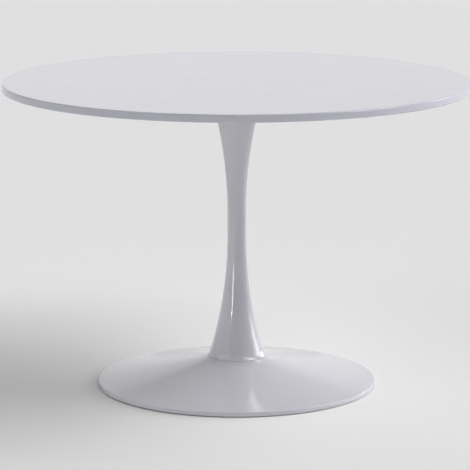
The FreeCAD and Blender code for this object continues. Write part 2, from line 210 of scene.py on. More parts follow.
enamel, tree, place = new_material("gloss_enamel_on_steel")
peel = add(
    tree, "ShaderNodeTexNoise", None, {"Vector": place}, Scale=per_metre(ENAMEL_PEEL_MM), Detail=1.5
)
wave = add(tree, "ShaderNodeTexNoise", None, {"Vector": place}, Scale=per_metre(SPUN_WAVE_MM), Detail=1.0)
film = add(
    tree, "ShaderNodeTexNoise", None, {"Vector": place}, Scale=per_metre(FILM_CLOUD_MM), Detail=2.0
)
share = add(tree, "ShaderNodeMapRange", None, {"Value": film["Fac"]}, **NOISE_SPAN)
gloss_tone = add(tree, "ShaderNodeMix", {"data_type": "RGBA"}, {
    "Factor": share["Result"], 6: linear(ENAMEL_WHITE), 7: linear(ENAMEL_WHITE_THICK),
})
gloss = add(tree, "ShaderNodeMapRange", None, {"Value": film["Fac"]}, To_Min=0.05, To_Max=0.09)
mist = add(
    tree, "ShaderNodeTexNoise", None, {"Vector": place}, Scale=per_metre(OVERSPRAY_SPECK_MM), Detail=3.0
)
share = add(tree, "ShaderNodeMapRange", None, {"Value": mist["Fac"]}, **NOISE_SPAN)
mist_tone = add(tree, "ShaderNodeMix", {"data_type": "RGBA"}, {
    "Factor": share["Result"], 6: linear(OVERSPRAY), 7: linear(OVERSPRAY_THIN),
})
geometry = add(tree, "ShaderNodeNewGeometry")
upright = add(tree, "ShaderNodeSeparateXYZ", None, {"Vector": geometry["Normal"]})
facing_down = add(tree, "ShaderNodeMapRange", None, {"Value": upright["Z"]}, From_Min=-0.5, From_Max=-0.8)
tone = add(tree, "ShaderNodeMix", {"data_type": "RGBA"}, {
    "Factor": facing_down["Result"], 6: gloss_tone[2], 7: mist_tone[2],
})
rough = add(
    tree, "ShaderNodeMapRange", None, {"Value": facing_down["Result"], "To Min": gloss["Result"]}, To_Max=0.6
)
waviness = add(
    tree, "ShaderNodeBump", None, {"Height": wave["Fac"]}, Distance=SPUN_WAVE_DEPTH_MM / 1000, Strength=1.0
)
relief = add(
    tree, "ShaderNodeBump", None, {"Height": peel["Fac"], "Normal": waviness["Normal"]},
    Distance=ENAMEL_PEEL_DEPTH_MM / 1000,
)
shader = add(tree, "ShaderNodeBsdfPrincipled", None, {
    "Base Color": tone[2],
    "Roughness": rough["Result"],
    "Normal": relief["Normal"],
}, IOR=1.5)
add(tree, "ShaderNodeOutputMaterial", None, {"Surface": shader["BSDF"]})
coat(enamel, "base_shell")


# ------------------------------------------------------------------ turned rings in the column
# Two rings turned from mild steel bar and welded into the column's ends, tapped for the bolts.
# Bare steel under oil, with the faint circular bands that the lathe tool leaves.
MILD_STEEL = "#8e8c88"
MILD_STEEL_BRIGHT = "#a9a7a2"
LATHE_BAND_MM = 7.54
LATHE_BAND_DEPTH_MM = 0.02
OIL_FILM_MM = 18.0
WAVE_TEXTURE_TURN = 20.0  # how many radians the wave texture turns in one unit

turned_steel, tree, place = new_material("turned_mild_steel")
bands = add(
    tree, "ShaderNodeTexWave", {"wave_type": "RINGS", "rings_direction": "Z"}, {"Vector": place},
    Scale=2 * math.pi * per_metre(LATHE_BAND_MM) / WAVE_TEXTURE_TURN, Distortion=0.4, Detail=1.0,
)
oil = add(tree, "ShaderNodeTexNoise", None, {"Vector": place}, Scale=per_metre(OIL_FILM_MM), Detail=3.0)
share = add(tree, "ShaderNodeMapRange", None, {"Value": oil["Fac"]}, **NOISE_SPAN)
tone = add(tree, "ShaderNodeMix", {"data_type": "RGBA"}, {
    "Factor": share["Result"], 6: linear(MILD_STEEL), 7: linear(MILD_STEEL_BRIGHT),
})
rough = add(tree, "ShaderNodeMapRange", None, {"Value": oil["Fac"]}, To_Min=0.26, To_Max=0.46)
relief = add(tree, "ShaderNodeBump", None, {"Height": bands["Fac"]}, Distance=LATHE_BAND_DEPTH_MM / 1000)
shader = add(tree, "ShaderNodeBsdfPrincipled", None, {
    "Base Color": tone[2],
    "Roughness": rough["Result"],
    "Normal": relief["Normal"],
}, Metallic=1.0)
add(tree, "ShaderNodeOutputMaterial", None, {"Surface": shader["BSDF"]})
coat(turned_steel, "column_foot_ring", "column_head_ring")


# ------------------------------------------------------------------ column
# A tube of 2 mm steel spun to a slim waist with a flare at each end. The lower flare ends in the
# same round as the shell's neck, so the two read as one line with a hairline seam. Its enamel is
# the shell's.
coat(enamel, "column")


# ------------------------------------------------------------------ seam gasket
# A washer of pressed fibre between column and shell, set back from the surface so that the seam
# shows as a dark line. Charcoal, matt and slightly hairy: the charcoal is painted shade that deepens
# the seam's line on top of the real shadow in the recess.
# painted shade: near black, so that the gasket stands in for the shadow in the seam's gap
SEAM_SHADE_FIBRE = "#242322"
FIBRE_PALE = "#3a3836"
FIBRE_HAIR_MM = 0.8
FIBRE_HAIR_DEPTH_MM = 0.06

fibre, tree, place = new_material("pressed_fibre")
hairs = add(
    tree, "ShaderNodeTexNoise", None, {"Vector": place}, Scale=per_metre(FIBRE_HAIR_MM), Detail=4.0,
    Distortion=2.0,
)
share = add(tree, "ShaderNodeMapRange", None, {"Value": hairs["Fac"]}, **NOISE_SPAN)
tone = add(tree, "ShaderNodeMix", {"data_type": "RGBA"}, {
    "Factor": share["Result"], 6: linear(SEAM_SHADE_FIBRE), 7: linear(FIBRE_PALE),
})
rough = add(tree, "ShaderNodeMapRange", None, {"Value": hairs["Fac"]}, To_Min=0.85, To_Max=1.0)
relief = add(tree, "ShaderNodeBump", None, {"Height": hairs["Fac"]}, Distance=FIBRE_HAIR_DEPTH_MM / 1000)
shader = add(tree, "ShaderNodeBsdfPrincipled", None, {
    "Base Color": tone[2],
    "Roughness": rough["Result"],
    "Normal": relief["Normal"],
}, IOR=1.5)
add(tree, "ShaderNodeOutputMaterial", None, {"Surface": shader["BSDF"]})
coat(fibre, "seam_gasket")


# ------------------------------------------------------------------ base bolts
# Four M10 countersunk socket bolts that pull the ballast plate, hub, shell and column together
# from below. Bright zinc on cold-headed steel: silvery, a little blue, with soft blotches.
ZINC = "#b4b8be"
ZINC_PALE = "#cfd1d3"
ZINC_BLOTCH_MM = 3.0
ZINC_GRAIN_MM = 0.5
ZINC_GRAIN_DEPTH_MM = 0.01
BASE_BOLT_COUNT = 4
BASE_BOLT_CIRCLE = 0.042
BASE_BOLT_HEAD = 0.010
BASE_BOLT_SHANK = 0.005
BASE_BOLT_SOCKET = 0.006
BASE_BOLT_SOCKET_DEEP = 0.0022
BASE_BOLT_SOCKET_POINT = 0.0028
BASE_BOLT_SOCKET_LIP = 0.0007
BASE_BOLT_ARRIS = 0.0003
BASE_BOLT_TIP = 0.0008
STEPS_ROUND = 48

zinc, tree, place = new_material("bright_zinc_plate")
blotch = add(
    tree, "ShaderNodeTexNoise", None, {"Vector": place}, Scale=per_metre(ZINC_BLOTCH_MM), Detail=4.0
)
grain = add(
    tree, "ShaderNodeTexNoise", None, {"Vector": place}, Scale=per_metre(ZINC_GRAIN_MM), Detail=1.0
)
share = add(tree, "ShaderNodeMapRange", None, {"Value": blotch["Fac"]}, **NOISE_SPAN)
tone = add(tree, "ShaderNodeMix", {"data_type": "RGBA"}, {
    "Factor": share["Result"], 6: linear(ZINC), 7: linear(ZINC_PALE),
})
rough = add(tree, "ShaderNodeMapRange", None, {"Value": blotch["Fac"]}, To_Min=0.22, To_Max=0.42)
relief = add(tree, "ShaderNodeBump", None, {"Height": grain["Fac"]}, Distance=ZINC_GRAIN_DEPTH_MM / 1000)
shader = add(tree, "ShaderNodeBsdfPrincipled", None, {
    "Base Color": tone[2],
    "Roughness": rough["Result"],
    "Normal": relief["Normal"],
}, Metallic=1.0)
add(tree, "ShaderNodeOutputMaterial", None, {"Surface": shader["BSDF"]})


def turned(name, outline, steps=STEPS_ROUND):
    """Turn an outline about the upright axis into a closed mesh.

    The outline is a list of (radius, height), or (radius, height, "hex") where the section is a
    hexagon and the radius is half its width across flats. An outline that starts away from the
    axis runs round to its own start.
    """
    mesh = bmesh.new()
    rings = []
    for radius, height, *section in outline:
        ring = []
        for step in range(steps):
            turn = 2 * math.pi * step / steps
            reach = radius
            if section:
                reach = radius / math.cos((turn % (math.pi / 3)) - math.pi / 6)
            ring.append(mesh.verts.new((reach * math.cos(turn), reach * math.sin(turn), height)))
        rings.append(ring)
    pairs = list(zip(rings, rings[1:]))
    if outline[0][0] > 0:
        pairs.append((rings[-1], rings[0]))
    for low, high in pairs:
        for step in range(steps):
            after = (step + 1) % steps
            mesh.faces.new((low[step], low[after], high[after], high[step]))
    bmesh.ops.remove_doubles(mesh, verts=mesh.verts, dist=1e-7)
    bmesh.ops.recalc_face_normals(mesh, faces=mesh.faces)
    data = bpy.data.meshes.new(name)
    mesh.to_mesh(data)
    mesh.free()
    return bpy.data.objects.new(name, data)


def new_shape_tree(name, sizes):
    """A Geometry Nodes tree that takes one shape and named sizes; gives the tree and its inputs."""
    tree = bpy.data.node_groups.new(name, "GeometryNodeTree")
    tree.interface.new_socket("Shape", in_out="OUTPUT", socket_type="NodeSocketGeometry")
    tree.interface.new_socket("Shape", in_out="INPUT", socket_type="NodeSocketGeometry")
    for size, kind in sizes.items():
        tree.interface.new_socket(size, in_out="INPUT", socket_type=kind)
    return tree, tree.nodes.new("NodeGroupInput").outputs


def made_by(shape, tree, sizes, sharp_degrees=16.0):
    """Run a shape tree on a shape and return the result as a plain mesh object."""
    bpy.context.scene.collection.objects.link(shape)
    modifier = shape.modifiers.new(tree.name, "NODES")
    modifier.node_group = tree
    for item in tree.interface.items_tree:
        if item.in_out == "INPUT" and item.name in sizes:
            modifier[item.identifier] = sizes[item.name]
    depsgraph = bpy.context.evaluated_depsgraph_get()
    data = bpy.data.meshes.new_from_object(shape.evaluated_get(depsgraph))
    shape.modifiers.clear()
    data.name = shape.name
    data.set_sharp_from_angle(angle=math.radians(sharp_degrees))
    shape.data = data
    return shape


# A tree that sets copies of one shape evenly round the table's axis.
ring_tree, sizes = new_shape_tree("ring_of_copies", {
    "Count": "NodeSocketInt",
    "Circle": "NodeSocketFloat",
    "First Angle": "NodeSocketFloat",
    "Finish": "NodeSocketMaterial",
})
circle = add(ring_tree, "GeometryNodeMeshCircle", None, {
    "Vertices": sizes["Count"], "Radius": sizes["Circle"],
})
number = add(ring_tree, "GeometryNodeInputIndex")
share = add(ring_tree, "ShaderNodeMath", {"operation": "DIVIDE"}, {0: number["Index"], 1: sizes["Count"]})
angle = add(ring_tree, "ShaderNodeMath", {"operation": "MULTIPLY"}, {0: share["Value"], 1: 2 * math.pi})
facing = add(ring_tree, "ShaderNodeCombineXYZ", None, {"Z": angle["Value"]})
copies = add(ring_tree, "GeometryNodeInstanceOnPoints", None, {
    "Points": circle["Mesh"], "Instance": sizes["Shape"], "Rotation": facing["Vector"],
})
start = add(ring_tree, "ShaderNodeCombineXYZ", None, {"Z": sizes["First Angle"]})
turned_ring = add(ring_tree, "GeometryNodeTransform", None, {
    "Geometry": copies["Instances"], "Rotation": start["Vector"],
})
real = add(ring_tree, "GeometryNodeRealizeInstances", None, {"Geometry": turned_ring["Geometry"]})
finished = add(ring_tree, "GeometryNodeSetMaterial", None, {
    "Geometry": real["Geometry"], "Material": sizes["Finish"],
})
add(ring_tree, "NodeGroupOutput", None, {"Shape": finished["Geometry"]})

(_, _, bolt_face), (_, _, bolt_tip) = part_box("base_bolts")
bolt_cone = bolt_face + BASE_BOLT_HEAD - BASE_BOLT_SHANK
base_bolt = turned("base_bolts_zinc", [
    (0.0, bolt_face + BASE_BOLT_SOCKET_POINT),
    (BASE_BOLT_SOCKET / 2, bolt_face + BASE_BOLT_SOCKET_DEEP, "hex"),
    (BASE_BOLT_SOCKET / 2, bolt_face + BASE_BOLT_ARRIS, "hex"),
    (BASE_BOLT_SOCKET / 2 + BASE_BOLT_SOCKET_LIP, bolt_face),
    (BASE_BOLT_HEAD - 2 * BASE_BOLT_ARRIS, bolt_face),
    (BASE_BOLT_HEAD - BASE_BOLT_ARRIS, bolt_face + BASE_BOLT_ARRIS),
    (BASE_BOLT_SHANK, bolt_cone),
    (BASE_BOLT_SHANK, bolt_tip - BASE_BOLT_TIP),
    (BASE_BOLT_SHANK - BASE_BOLT_TIP, bolt_tip),
    (0.0, bolt_tip),
])
base_bolts = made_by(base_bolt, ring_tree, {
    "Count": BASE_BOLT_COUNT, "Circle": BASE_BOLT_CIRCLE, "First Angle": 0.0, "Finish": zinc,
})
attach(base_bolts, "pedestal")
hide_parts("base_bolts")


# ------------------------------------------------------------------ glide stems
# Six M8 steel screws in tapped holes of the ballast plate; turning one lifts or lowers its foot.
# The thread is rolled, so its crests are round, and a thin collar stands on the foot.
GLIDE_COUNT = 6
GLIDE_CIRCLE = 0.240
THREAD_RADIUS = 0.004
THREAD_PITCH = 0.00125
THREAD_DEPTH = 0.0007
THREAD_SIDES = 32
THREAD_STEPS_A_TURN = 10
COLLAR_RADIUS = 0.007
COLLAR_HEIGHT = 0.001
COLLAR_ROUND = 0.0003
COLLAR_ARRIS = 0.0001
STEM_IN_FOOT = 0.003
THREAD_SHARP_DEGREES = 60.0
END_SHARE = 1e-4  # share of the thread's length that closes its two ends

# A tree that winds a thread round the axis and joins it to the shape that it is given.
thread, sizes = new_shape_tree("rolled_thread", {
    "Radius": "NodeSocketFloat",
    "Pitch": "NodeSocketFloat",
    "Depth": "NodeSocketFloat",
    "Foot": "NodeSocketFloat",
    "Length": "NodeSocketFloat",
    "Steps Up": "NodeSocketInt",
    "Across": "NodeSocketFloat",
    "Finish": "NodeSocketMaterial",
})
sheet = add(
    thread, "GeometryNodeMeshGrid", None, {"Vertices Y": sizes["Steps Up"]}, Vertices_X=THREAD_SIDES + 1
)
position = add(thread, "GeometryNodeInputPosition")
flat = add(thread, "ShaderNodeSeparateXYZ", None, {"Vector": position["Position"]})
around = add(thread, "ShaderNodeMath", {"operation": "ADD"}, {0: flat["X"], 1: 0.5})
upward = add(thread, "ShaderNodeMath", {"operation": "ADD"}, {0: flat["Y"], 1: 0.5})
height = add(thread, "ShaderNodeMath", {"operation": "MULTIPLY"}, {0: upward["Value"], 1: sizes["Length"]})
turns = add(thread, "ShaderNodeMath", {"operation": "DIVIDE"}, {0: height["Value"], 1: sizes["Pitch"]})
lead = add(thread, "ShaderNodeMath", {"operation": "SUBTRACT"}, {0: turns["Value"], 1: around["Value"]})
phase = add(thread, "ShaderNodeMath", {"operation": "MULTIPLY"}, {0: lead["Value"], 1: 2 * math.pi})
swing = add(thread, "ShaderNodeMath", {"operation": "COSINE"}, {0: phase["Value"]})
groove = add(
    thread, "ShaderNodeMapRange", None, {"Value": swing["Value"], "To Max": sizes["Depth"]}, From_Min=-1.0
)
reach = add(thread, "ShaderNodeMath", {"operation": "SUBTRACT"}, {0: sizes["Radius"], 1: groove["Result"]})
above_end = add(thread, "ShaderNodeMath", {"operation": "GREATER_THAN"}, {0: upward["Value"], 1: END_SHARE})
below_end = add(
    thread, "ShaderNodeMath", {"operation": "LESS_THAN"}, {0: upward["Value"], 1: 1 - END_SHARE}
)
between = add(
    thread, "ShaderNodeMath", {"operation": "MULTIPLY"}, {0: above_end["Value"], 1: below_end["Value"]}
)
radius = add(thread, "ShaderNodeMath", {"operation": "MULTIPLY"}, {0: reach["Value"], 1: between["Value"]})
turn = add(thread, "ShaderNodeMath", {"operation": "MULTIPLY"}, {0: around["Value"], 1: 2 * math.pi})
across = add(thread, "ShaderNodeMath", {"operation": "COSINE"}, {0: turn["Value"]})
along = add(thread, "ShaderNodeMath", {"operation": "SINE"}, {0: turn["Value"]})
x = add(thread, "ShaderNodeMath", {"operation": "MULTIPLY"}, {0: across["Value"], 1: radius["Value"]})
y = add(thread, "ShaderNodeMath", {"operation": "MULTIPLY"}, {0: along["Value"], 1: radius["Value"]})
wound = add(thread, "ShaderNodeCombineXYZ", None, {"X": x["Value"], "Y": y["Value"], "Z": height["Value"]})
rolled = add(thread, "GeometryNodeSetPosition", None, {
    "Geometry": sheet["Mesh"], "Position": wound["Vector"],
})
closed = add(thread, "GeometryNodeMergeByDistance", None, {"Geometry": rolled["Geometry"]}, Distance=1e-6)
shift = add(thread, "ShaderNodeCombineXYZ", None, {"Z": sizes["Foot"]})
raised = add(thread, "GeometryNodeTransform", None, {
    "Geometry": closed["Geometry"], "Translation": shift["Vector"],
})
both = add(thread, "GeometryNodeJoinGeometry")
thread.links.new(sizes["Shape"], both["Geometry"].node.inputs["Geometry"])
thread.links.new(raised["Geometry"], both["Geometry"].node.inputs["Geometry"])
outward = add(thread, "ShaderNodeCombineXYZ", None, {"X": sizes["Across"]})
placed = add(thread, "GeometryNodeTransform", None, {
    "Geometry": both["Geometry"], "Translation": outward["Vector"],
})
real = add(thread, "GeometryNodeRealizeInstances", None, {"Geometry": placed["Geometry"]})
finished = add(thread, "GeometryNodeSetMaterial", None, {
    "Geometry": real["Geometry"], "Material": sizes["Finish"],
})
add(thread, "NodeGroupOutput", None, {"Shape": finished["Geometry"]})


def stand_at(piece, turn):
    """Turn a piece's mesh about the table's axis."""
    mesh = bmesh.new()
    mesh.from_mesh(piece.data)
    sine, cosine = math.sin(turn), math.cos(turn)
    for vertex in mesh.verts:
        x, y, z = vertex.co
        vertex.co = (x * cosine - y * sine, x * sine + y * cosine, z)
    bmesh.ops.recalc_face_normals(mesh, faces=mesh.faces)
    mesh.to_mesh(piece.data)
    mesh.free()


for number in range(GLIDE_COUNT):
    node = f"glide_{number + 1}_stem"
    (_, _, stem_foot), (_, _, stem_tip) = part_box(node)
    collar_foot = stem_foot + STEM_IN_FOOT
    collar = turned(f"glide_{number + 1}_stem_thread", [
        (0.0, stem_foot),
        (THREAD_RADIUS, stem_foot),
        (THREAD_RADIUS, collar_foot),
        (COLLAR_RADIUS - COLLAR_ARRIS, collar_foot),
        (COLLAR_RADIUS, collar_foot + COLLAR_ARRIS),
        (COLLAR_RADIUS, collar_foot + COLLAR_HEIGHT - COLLAR_ROUND),
        (COLLAR_RADIUS - COLLAR_ROUND, collar_foot + COLLAR_HEIGHT),
        (0.0, collar_foot + COLLAR_HEIGHT),
    ])
    thread_length = stem_tip - collar_foot
    stem = made_by(collar, thread, {
        "Radius": THREAD_RADIUS,
        "Pitch": THREAD_PITCH,
        "Depth": THREAD_DEPTH,
        "Foot": collar_foot,
        "Length": thread_length,
        "Steps Up": int(thread_length / THREAD_PITCH * THREAD_STEPS_A_TURN) + 1,
        "Across": GLIDE_CIRCLE,
        "Finish": zinc,
    }, THREAD_SHARP_DEGREES)
    stand_at(stem, 2 * math.pi * number / GLIDE_COUNT)
    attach(stem, f"glide_{number + 1}")
    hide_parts(node)


# ------------------------------------------------------------------ glide feet
# Round feet moulded in grey polypropylene on the ends of the screws, with fine ribs round the edge
# to grip them by hand. Matt from the mould.
FOOT_PLASTIC = "#3a3b3e"
FOOT_PLASTIC_PALE = "#484a4d"
SPARK_GRAIN_MM = 0.7
SPARK_GRAIN_DEPTH_MM = 0.03
FLOW_MARK_MM = 14.0
FOOT_RIBS = 40
FOOT_RIB_PROUD = 0.0006
FOOT_RIB_SLOPE = 0.0004
FOOT_RIB_GAPS = (0.0002, 0.0005)
FOOT_EDGE_ROUND = 0.0015
FOOT_TOP_ROUND = 0.0004
FOOT_HOLLOW_RADIUS = 0.0095
FOOT_HOLLOW_DEPTH = 0.0004
FOOT_GROOVE = (0.0080, 0.0120)
FOOT_GROOVE_DEPTH = 0.0008
FOOT_SLOPE = 0.0005
FOOT_STEPS_ROUND = 80
FOOT_SHARP_DEGREES = 35.0
RIB_STEPS_ROUND = 8

polypropylene, tree, place = new_material("moulded_polypropylene")
spark = add(
    tree, "ShaderNodeTexNoise", None, {"Vector": place}, Scale=per_metre(SPARK_GRAIN_MM), Detail=2.0
)
flow = add(tree, "ShaderNodeTexNoise", None, {"Vector": place}, Scale=per_metre(FLOW_MARK_MM), Detail=2.0)
share = add(tree, "ShaderNodeMapRange", None, {"Value": flow["Fac"]}, **NOISE_SPAN)
tone = add(tree, "ShaderNodeMix", {"data_type": "RGBA"}, {
    "Factor": share["Result"], 6: linear(FOOT_PLASTIC), 7: linear(FOOT_PLASTIC_PALE),
})
rough = add(tree, "ShaderNodeMapRange", None, {"Value": spark["Fac"]}, To_Min=0.4, To_Max=0.6)
relief = add(tree, "ShaderNodeBump", None, {"Height": spark["Fac"]}, Distance=SPARK_GRAIN_DEPTH_MM / 1000)
shader = add(tree, "ShaderNodeBsdfPrincipled", None, {
    "Base Color": tone[2],
    "Roughness": rough["Result"],
    "Normal": relief["Normal"],
}, IOR=1.49)
add(tree, "ShaderNodeOutputMaterial", None, {"Surface": shader["BSDF"]})

for number in range(GLIDE_COUNT):
    node = f"glide_{number + 1}_foot"
    (foot_left, _, foot_low), (foot_right, _, foot_high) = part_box(node)
    foot_radius = (foot_right - foot_left) / 2
    drum = foot_radius - FOOT_RIB_PROUD
    edge = [
        (drum - FOOT_EDGE_ROUND * (1 - math.sin(t)), foot_low + FOOT_EDGE_ROUND * (1 - math.cos(t)))
        for t in (math.radians(15 * step) for step in range(7))
    ]
    foot = turned(f"{node}_ribbed", [
        (0.0, foot_low + FOOT_HOLLOW_DEPTH),
        (FOOT_HOLLOW_RADIUS, foot_low + FOOT_HOLLOW_DEPTH),
        (FOOT_HOLLOW_RADIUS + FOOT_SLOPE, foot_low),
        *edge,
        (drum, foot_high - FOOT_TOP_ROUND),
        (drum - FOOT_TOP_ROUND, foot_high),
        (FOOT_GROOVE[1], foot_high),
        (FOOT_GROOVE[1] - FOOT_SLOPE, foot_high - FOOT_GROOVE_DEPTH),
        (FOOT_GROOVE[0] + FOOT_SLOPE, foot_high - FOOT_GROOVE_DEPTH),
        (FOOT_GROOVE[0], foot_high),
        (THREAD_RADIUS, foot_high),
        (THREAD_RADIUS, foot_high - STEM_IN_FOOT),
        (0.0, foot_high - STEM_IN_FOOT),
    ], FOOT_STEPS_ROUND)
    rib_low = foot_low + FOOT_EDGE_ROUND + FOOT_RIB_GAPS[0]
    rib_high = foot_high - FOOT_RIB_GAPS[1]
    rib = turned("rib", [
        (0.0, rib_low),
        (FOOT_RIB_PROUD, rib_low + FOOT_RIB_SLOPE),
        (FOOT_RIB_PROUD, rib_high - FOOT_RIB_SLOPE),
        (0.0, rib_high),
    ], RIB_STEPS_ROUND)
    ribs = made_by(rib, ring_tree, {
        "Count": FOOT_RIBS, "Circle": drum, "First Angle": 0.0, "Finish": polypropylene,
    })
    joined = bmesh.new()
    joined.from_mesh(foot.data)
    joined.from_mesh(ribs.data)
    bmesh.ops.translate(joined, verts=joined.verts, vec=(GLIDE_CIRCLE, 0.0, 0.0))
    joined.to_mesh(foot.data)
    joined.free()
    bpy.data.objects.remove(ribs)
    bpy.context.scene.collection.objects.link(foot)
    foot.data.materials.clear()
    foot.data.materials.append(polypropylene)
    foot.data.set_sharp_from_angle(angle=math.radians(FOOT_SHARP_DEGREES))
    stand_at(foot, 2 * math.pi * number / GLIDE_COUNT)
    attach(foot, f"glide_{number + 1}")
    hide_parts(node)


# ------------------------------------------------------------------ mounting plate
# A 5 mm steel disc that spreads the column's hold over the board, bevelled and powder coated in
# the ballast plate's black. Four countersunk bolts, hidden under the top, hold it to the column.
coat(powder_coat, "mounting_plate")
coat(zinc, "head_bolts")


# ------------------------------------------------------------------ table top
# An 18 mm disc of fibreboard, its corners rounded, sprayed on face and edge with gloss white
# polyester lacquer and rubbed down between coats. The face is glassy, with only a trace of orange
# peel; the underside has one matt sealing coat that the board's fibres show through.
LACQUER_WHITE = "#cfcfdb"
LACQUER_WHITE_DEEP = "#d2d2de"
SEALER = "#c9c6bf"
SEALER_THIN = "#b7b2a8"
LACQUER_PEEL_MM = 4.0
LACQUER_PEEL_DEPTH_MM = 0.0025
BOARD_FIBRE_MM = 1.6
BOARD_FIBRE_DEPTH_MM = 0.06
BOARD_WAVE_MM = 90.0
BOARD_WAVE_DEPTH_MM = 0.006
SEALER_EDGE = (0.0001, 0.0004)

(_, _, top_under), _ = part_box("table_top")
lacquer, tree, place = new_material("gloss_lacquer_on_fibreboard")
peel = add(
    tree, "ShaderNodeTexNoise", None, {"Vector": place}, Scale=per_metre(LACQUER_PEEL_MM), Detail=1.5
)
wave = add(
    tree, "ShaderNodeTexNoise", None, {"Vector": place}, Scale=per_metre(BOARD_WAVE_MM), Detail=1.0
)
fibres = add(
    tree, "ShaderNodeTexNoise", None, {"Vector": place}, Scale=per_metre(BOARD_FIBRE_MM), Detail=5.0,
    Distortion=1.5,
)
height = add(tree, "ShaderNodeSeparateXYZ", None, {"Vector": place})
is_under = add(
    tree, "ShaderNodeMapRange", None, {"Value": height["Z"]},
    From_Min=top_under + SEALER_EDGE[1], From_Max=top_under + SEALER_EDGE[0],
)
share = add(tree, "ShaderNodeMapRange", None, {"Value": wave["Fac"]}, **NOISE_SPAN)
gloss_tone = add(tree, "ShaderNodeMix", {"data_type": "RGBA"}, {
    "Factor": share["Result"], 6: linear(LACQUER_WHITE), 7: linear(LACQUER_WHITE_DEEP),
})
share = add(tree, "ShaderNodeMapRange", None, {"Value": fibres["Fac"]}, **NOISE_SPAN)
sealed_tone = add(tree, "ShaderNodeMix", {"data_type": "RGBA"}, {
    "Factor": share["Result"], 6: linear(SEALER), 7: linear(SEALER_THIN),
})
tone = add(tree, "ShaderNodeMix", {"data_type": "RGBA"}, {
    "Factor": is_under["Result"], 6: gloss_tone[2], 7: sealed_tone[2],
})
gloss = add(tree, "ShaderNodeMapRange", None, {"Value": wave["Fac"]}, To_Min=0.07, To_Max=0.10)
rough = add(
    tree, "ShaderNodeMapRange", None, {"Value": is_under["Result"], "To Min": gloss["Result"]}, To_Max=0.7
)
waviness = add(tree, "ShaderNodeBump", None, {"Height": wave["Fac"]}, Distance=BOARD_WAVE_DEPTH_MM / 1000)
gloss_relief = add(
    tree, "ShaderNodeBump", None, {"Height": peel["Fac"], "Normal": waviness["Normal"]},
    Distance=LACQUER_PEEL_DEPTH_MM / 1000,
)
relief = add(
    tree, "ShaderNodeBump", None,
    {"Height": fibres["Fac"], "Normal": gloss_relief["Normal"], "Strength": is_under["Result"]},
    Distance=BOARD_FIBRE_DEPTH_MM / 1000,
)
shader = add(tree, "ShaderNodeBsdfPrincipled", None, {
    "Base Color": tone[2],
    "Roughness": rough["Result"],
    "Normal": relief["Normal"],
}, IOR=1.5)
add(tree, "ShaderNodeOutputMaterial", None, {"Surface": shader["BSDF"]})
coat(lacquer, "table_top")
coat(zinc, "insert_nuts")


# ------------------------------------------------------------------ screws of the top
# Eight M6 button-head screws with washers, driven up through the mounting plate into threaded
# inserts in the board. Bright zinc like the bolts.
SCREW_COUNT = 8
SCREW_CIRCLE = 0.150
SCREW_SHANK = 0.003
SCREW_HEAD = 0.00525
SCREW_FLAT = 0.00315
SCREW_SOCKET = 0.004
SCREW_SOCKET_DEEP = 0.0022
SCREW_SOCKET_POINT = 0.0027
SCREW_SOCKET_LIP = 0.0005
SCREW_ARRIS = 0.0002
SCREW_TIP = 0.0006
BUTTON_BULGE = 0.7
SCREW_CLEARANCE = 0.0005
WASHER_ROUND = 0.0003
WASHER_ARRIS = 0.0001

(_, _, washer_low), (washer_right, _, washer_high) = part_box("top_washers")
washer_bore = SCREW_SHANK + SCREW_CLEARANCE
washer_radius = washer_right - SCREW_CIRCLE
washer = turned("top_washers_zinc", [
    (washer_bore, washer_low),
    (washer_radius - WASHER_ROUND, washer_low),
    (washer_radius - WASHER_ROUND * 0.3, washer_low + WASHER_ROUND * 0.3),
    (washer_radius, washer_low + WASHER_ROUND),
    (washer_radius, washer_high - WASHER_ARRIS),
    (washer_radius - WASHER_ARRIS, washer_high),
    (washer_bore, washer_high),
])
washers = made_by(washer, ring_tree, {
    "Count": SCREW_COUNT, "Circle": SCREW_CIRCLE, "First Angle": 0.0, "Finish": zinc,
})
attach(washers, "pedestal")
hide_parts("top_washers")

(_, _, screw_face), (_, _, screw_tip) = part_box("top_screws")
button_height = washer_low - screw_face
button_width = SCREW_HEAD - SCREW_FLAT
button = [
    (
        SCREW_FLAT + button_width * (BUTTON_BULGE * math.sin(t) + (1 - BUTTON_BULGE) * (1 - math.cos(t))),
        screw_face + button_height * ((1 - BUTTON_BULGE) * math.sin(t) + BUTTON_BULGE * (1 - math.cos(t))),
    )
    for t in (math.radians(10 * step) for step in range(1, 9))
]
screw = turned("top_screws_zinc", [
    (0.0, screw_face + SCREW_SOCKET_POINT),
    (SCREW_SOCKET / 2, screw_face + SCREW_SOCKET_DEEP, "hex"),
    (SCREW_SOCKET / 2, screw_face + SCREW_ARRIS, "hex"),
    (SCREW_SOCKET / 2 + SCREW_SOCKET_LIP, screw_face),
    (SCREW_FLAT, screw_face),
    *button,
    (SCREW_HEAD, washer_low - SCREW_ARRIS),
    (SCREW_HEAD - SCREW_ARRIS, washer_low),
    (SCREW_SHANK, washer_low),
    (SCREW_SHANK, screw_tip - SCREW_TIP),
    (SCREW_SHANK - SCREW_TIP, screw_tip),
    (0.0, screw_tip),
])
screws = made_by(screw, ring_tree, {
    "Count": SCREW_COUNT, "Circle": SCREW_CIRCLE, "First Angle": 0.0, "Finish": zinc,
})
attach(screws, "pedestal")
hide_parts("top_screws")


# ------------------------------------------------------------------ floor
# White seamless background paper, rolled out wider than anything the camera sees. Matt, with a
# fibre too fine to catch the light.
PAPER_WHITE = "#fbfbfc"
PAPER_SHADE = "#f9f9fa"
PAPER_PULP_MM = 4.0
PAPER_HALF_WIDTH = 40.0

